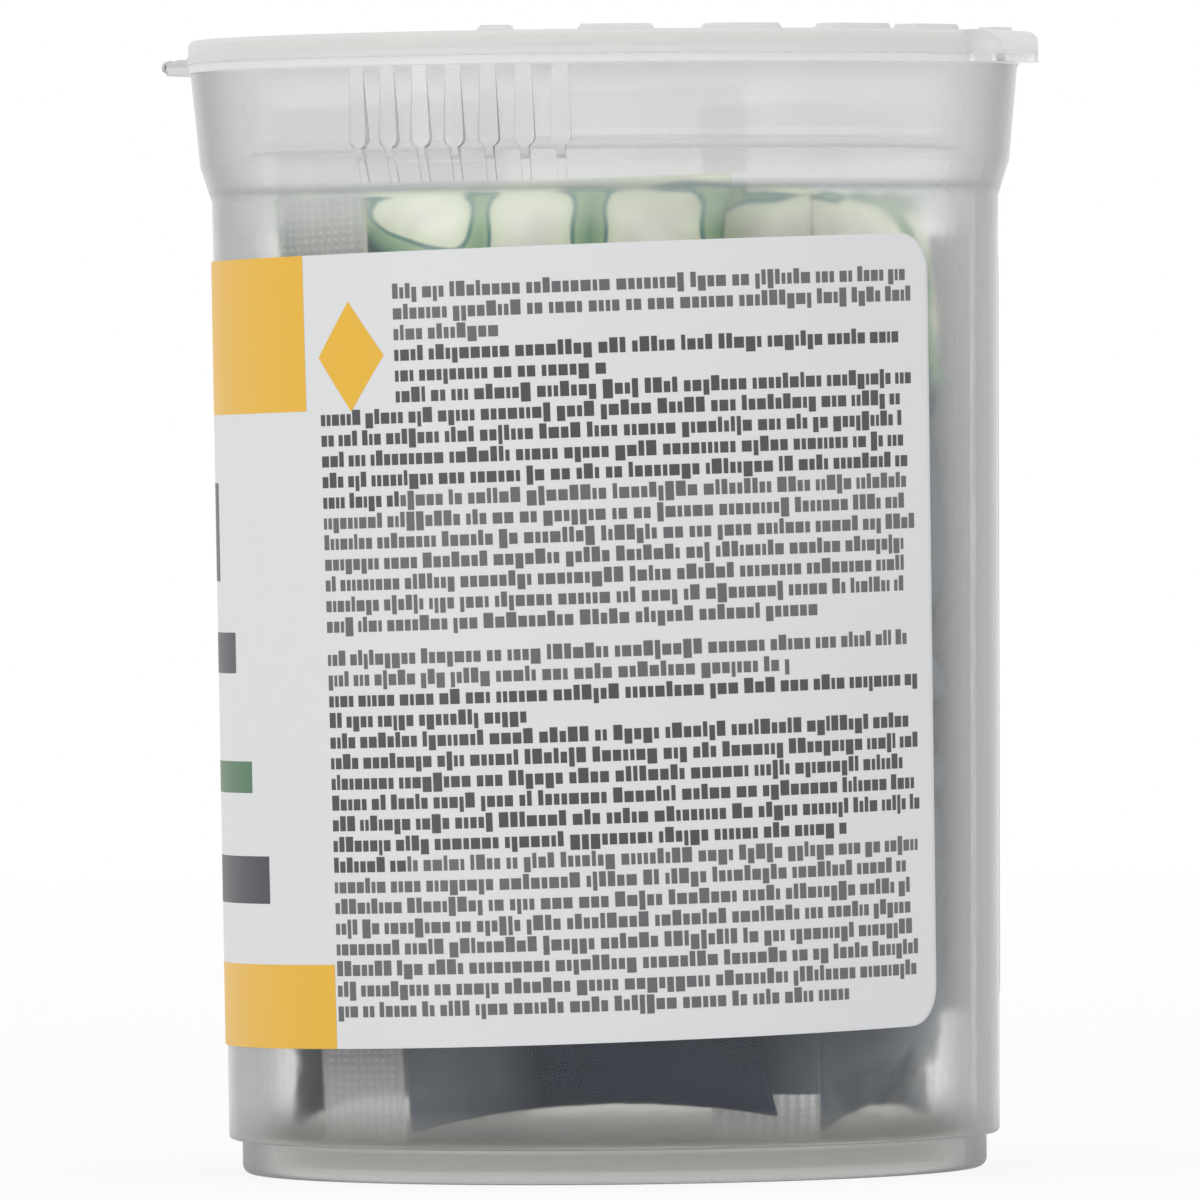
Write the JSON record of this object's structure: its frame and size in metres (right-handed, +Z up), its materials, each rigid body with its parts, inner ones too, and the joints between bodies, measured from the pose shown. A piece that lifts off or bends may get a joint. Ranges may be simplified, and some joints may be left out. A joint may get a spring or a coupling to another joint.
{
  "type": "pack of cleaner refill pods",
  "caption": "Round translucent plastic tub with a hinged snap lid and wrap-around label, holding upright sealed pouches of liquid cleaner concentrate.",
  "frame": {"origin": "middle of the tub's foot, on the surface that it stands on", "axes": "+Z up along the tub's axis, +X from the tub's axis towards the lid's thumb tab, the hinge on the -X side"},
  "size_m": [0.068, 0.0638, 0.0871],
  "materials": {
    "tub_plastic": "hazy translucent",
    "lid_plastic": "hazy translucent",
    "label_paper": "smooth matte",
    "pod_film": "glossy film over dark liquid"
  },
  "bodies": {
    "tub": {"tub": "tub_plastic", "label": "label_paper", "pod_1": "pod_film", "pod_2": "pod_film", "pod_3": "pod_film"},
    "lid": {"lid": "lid_plastic"}
  },
  "joints": [
    {"name": "lid_hinge", "type": "hinge", "parent": "tub", "child": "lid", "pos_m": [-0.0342, 0, 0.08485], "axis": [0, -1, 0], "range_deg": [0, 179]}
  ]
}
